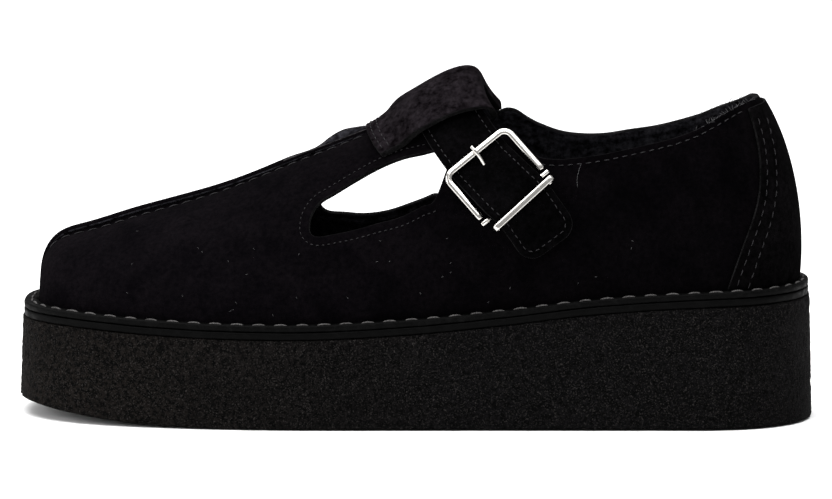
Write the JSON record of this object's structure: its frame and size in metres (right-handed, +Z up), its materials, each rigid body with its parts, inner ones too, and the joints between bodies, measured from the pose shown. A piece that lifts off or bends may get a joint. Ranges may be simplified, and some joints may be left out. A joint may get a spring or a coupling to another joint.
{
  "type": "t-bar shoe",
  "caption": "Left t-bar shoe with a thick crepe wedge sole, side cut-outs, raised centre seam, wide strap loop and a buckled instep strap.",
  "frame": {"origin": "on the floor, under the middle of the sole's box", "axes": "+X from toe to heel, +Y to the inner side of the foot, +Z up; the buckle is on the -Y side"},
  "size_m": [0.3, 0.1052, 0.1326],
  "materials": {
    "black_crepe": "matt black crepe rubber with a crumbly pitted side",
    "midsole_rubber": "smooth satin black",
    "welt_leather": "smooth satin black leather with grey stitches",
    "insole_leather": "matt black leather",
    "black_suede": "black suede with a short nap",
    "counter_suede": "black suede with a raw edge",
    "loop_suede": "slightly faded black suede",
    "strap_suede": "black suede, stitched along its edges",
    "chape_leather": "dark leather",
    "polished_nickel": "polished nickel plate"
  },
  "bodies": {
    "root": {"outsole": "black_crepe", "midsole": "midsole_rubber", "welt": "welt_leather", "insole": "insole_leather", "upper": "black_suede", "heel_counter": "counter_suede", "strap_loop": "loop_suede", "strap": "strap_suede", "buckle_chape": "chape_leather", "buckle_frame": "polished_nickel", "buckle_bar": "polished_nickel", "buckle_prong": "polished_nickel", "buckle_keeper": "polished_nickel"}
  },
  "joints": []
}
